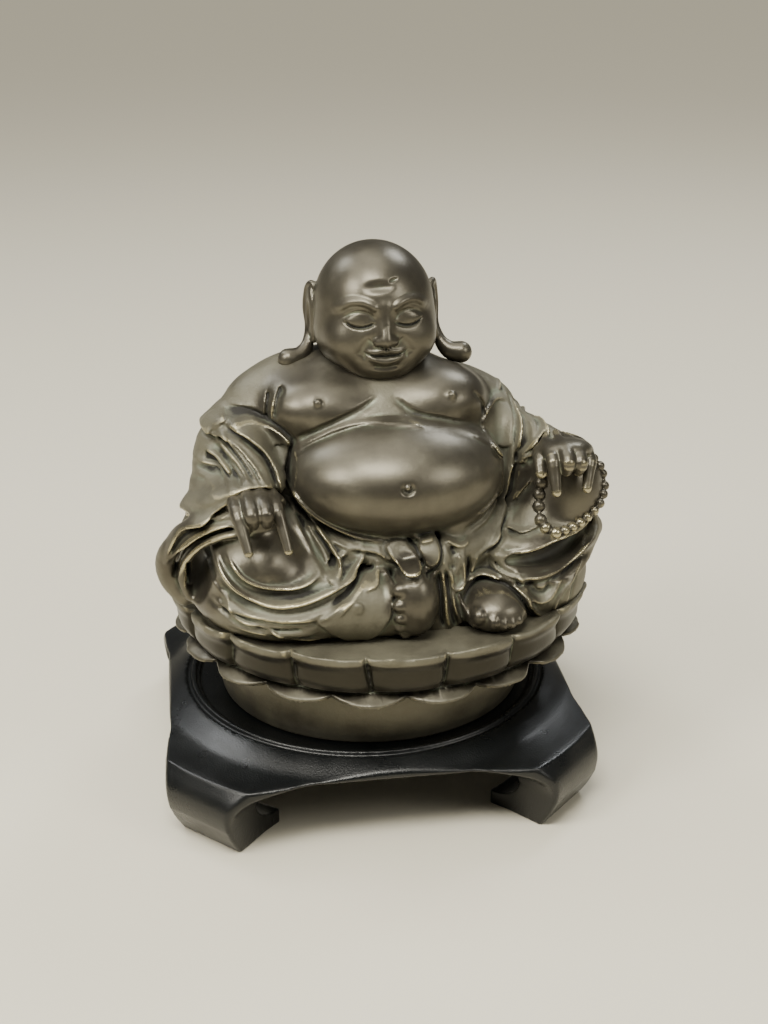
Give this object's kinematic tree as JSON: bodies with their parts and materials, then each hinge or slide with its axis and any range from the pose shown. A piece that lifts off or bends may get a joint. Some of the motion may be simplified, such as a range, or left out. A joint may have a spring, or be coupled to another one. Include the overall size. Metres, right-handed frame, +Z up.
{
  "type": "budai figure",
  "caption": "Seated laughing monk in cast bronze on a lotus with a round foot, resting in the recess of a black lacquered wood stand with scrolled feet",
  "frame": {"origin": "on the floor, under the middle of the whole object's box", "axes": "+Z up, the figure faces -Y, +X to the viewer's right"},
  "size_m": [0.1918, 0.1842, 0.2291],
  "materials": {
    "bronze": "dark brown patina, rubbed brassy on the high edges",
    "lacquered_wood": "black satin lacquer"
  },
  "bodies": {
    "root": {"figure": "bronze", "stand": "lacquered_wood"}
  },
  "joints": []
}
